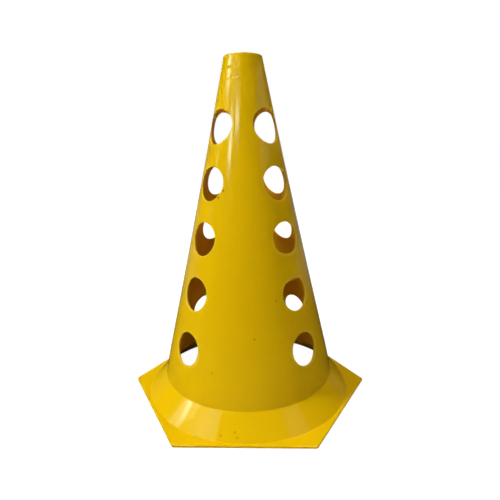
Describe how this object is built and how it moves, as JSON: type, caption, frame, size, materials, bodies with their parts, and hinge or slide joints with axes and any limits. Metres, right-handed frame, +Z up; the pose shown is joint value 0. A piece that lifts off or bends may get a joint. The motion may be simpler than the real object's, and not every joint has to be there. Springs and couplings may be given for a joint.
{
  "type": "sports marker cone",
  "caption": "Hollow tapered marker cone with round bar holes that cross through its sides, an open top for an upright pole, a flared skirt and a flat hexagonal base.",
  "frame": {"origin": "on the ground under the cone's axis: the centre of the bottom of the bounding box", "axes": "+Z up along the cone's axis, out of the top opening; +X and +Y along the two directions in which bars pass through the side holes; the flat sides of the base face 15, 75 and 135 degrees from +X and the opposite ways"},
  "size_m": [0.2176, 0.2176, 0.3],
  "materials": {
    "yellow_plastic": "satin"
  },
  "bodies": {
    "root": {"top_collar": "yellow_plastic", "hole_ring_5": "yellow_plastic", "hole_ring_4": "yellow_plastic", "hole_ring_3": "yellow_plastic", "hole_ring_2": "yellow_plastic", "hole_ring_1": "yellow_plastic", "flared_skirt": "yellow_plastic", "hexagonal_base": "yellow_plastic"}
  },
  "joints": []
}
